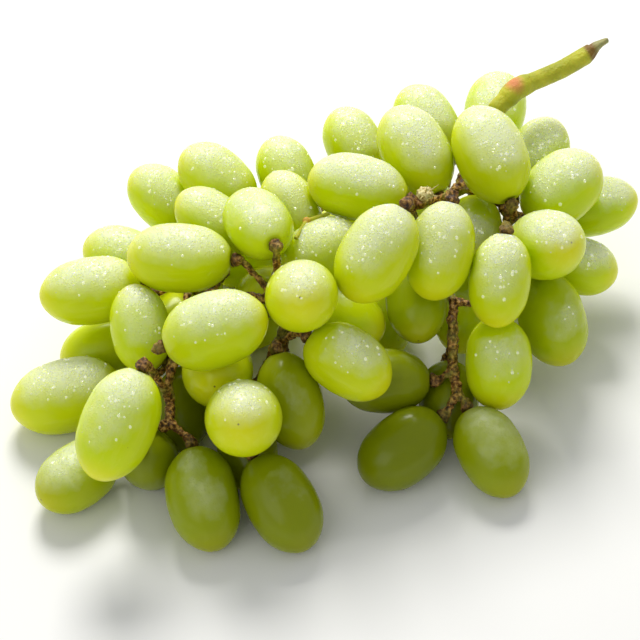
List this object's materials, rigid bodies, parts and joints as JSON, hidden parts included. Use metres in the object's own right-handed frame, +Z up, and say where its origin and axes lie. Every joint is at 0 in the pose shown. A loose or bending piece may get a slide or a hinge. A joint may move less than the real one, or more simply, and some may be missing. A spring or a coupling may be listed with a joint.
{
  "type": "bunch of grapes",
  "caption": "Bunch of long green grapes on a branching stem with a cut stalk, lying on a flat surface.",
  "frame": {"origin": "on the surface that the bunch lies on, under the middle of its bounding box", "axes": "+X along the long way of the bunch, towards the cut stalk; +Y towards the stalk's side; +Z up, the shortest extent"},
  "size_m": [0.182, 0.1588, 0.0705],
  "materials": {
    "grape_skin": "satin skin with a pale bloom",
    "stem_bark": "matt, warty, green to brown"
  },
  "bodies": {
    "root": {"berry_east_1": "grape_skin", "berry_east_10": "grape_skin", "berry_east_11": "grape_skin", "berry_east_2": "grape_skin", "berry_east_3": "grape_skin", "berry_east_4": "grape_skin", "berry_east_5": "grape_skin", "berry_east_6": "grape_skin", "berry_east_7": "grape_skin", "berry_east_8": "grape_skin", "berry_east_9": "grape_skin", "berry_heart_1": "grape_skin", "berry_heart_2": "grape_skin", "berry_heart_3": "grape_skin", "berry_heart_4": "grape_skin", "berry_heart_5": "grape_skin", "berry_middle_1": "grape_skin", "berry_middle_2": "grape_skin", "berry_middle_3": "grape_skin", "berry_middle_4": "grape_skin", "berry_middle_5": "grape_skin", "berry_middle_6": "grape_skin", "berry_north_1": "grape_skin", "berry_north_2": "grape_skin", "berry_north_3": "grape_skin", "berry_north_4": "grape_skin", "berry_north_5": "grape_skin", "berry_north_6": "grape_skin", "berry_north_7": "grape_skin", "berry_north_8": "grape_skin", "berry_rear_1": "grape_skin", "berry_rear_2": "grape_skin", "berry_rear_3": "grape_skin", "berry_rear_4": "grape_skin", "berry_saddle_1": "grape_skin", "berry_saddle_2": "grape_skin", "berry_saddle_3": "grape_skin", "berry_saddle_4": "grape_skin", "berry_saddle_5": "grape_skin", "berry_saddle_6": "grape_skin", "berry_tail_1": "grape_skin", "berry_tail_2": "grape_skin", "berry_tail_3": "grape_skin", "berry_tail_4": "grape_skin", "berry_tail_5": "grape_skin", "berry_tail_6": "grape_skin", "berry_tail_7": "grape_skin", "berry_west_1": "grape_skin", "berry_west_2": "grape_skin", "berry_west_3": "grape_skin", "berry_west_4": "grape_skin", "berry_west_5": "grape_skin", "berry_west_6": "grape_skin", "berry_wing_1": "grape_skin", "berry_wing_2": "grape_skin", "berry_wing_3": "grape_skin", "berry_wing_4": "grape_skin", "berry_wing_5": "grape_skin", "berry_wing_6": "grape_skin", "stem": "stem_bark"}
  },
  "joints": []
}
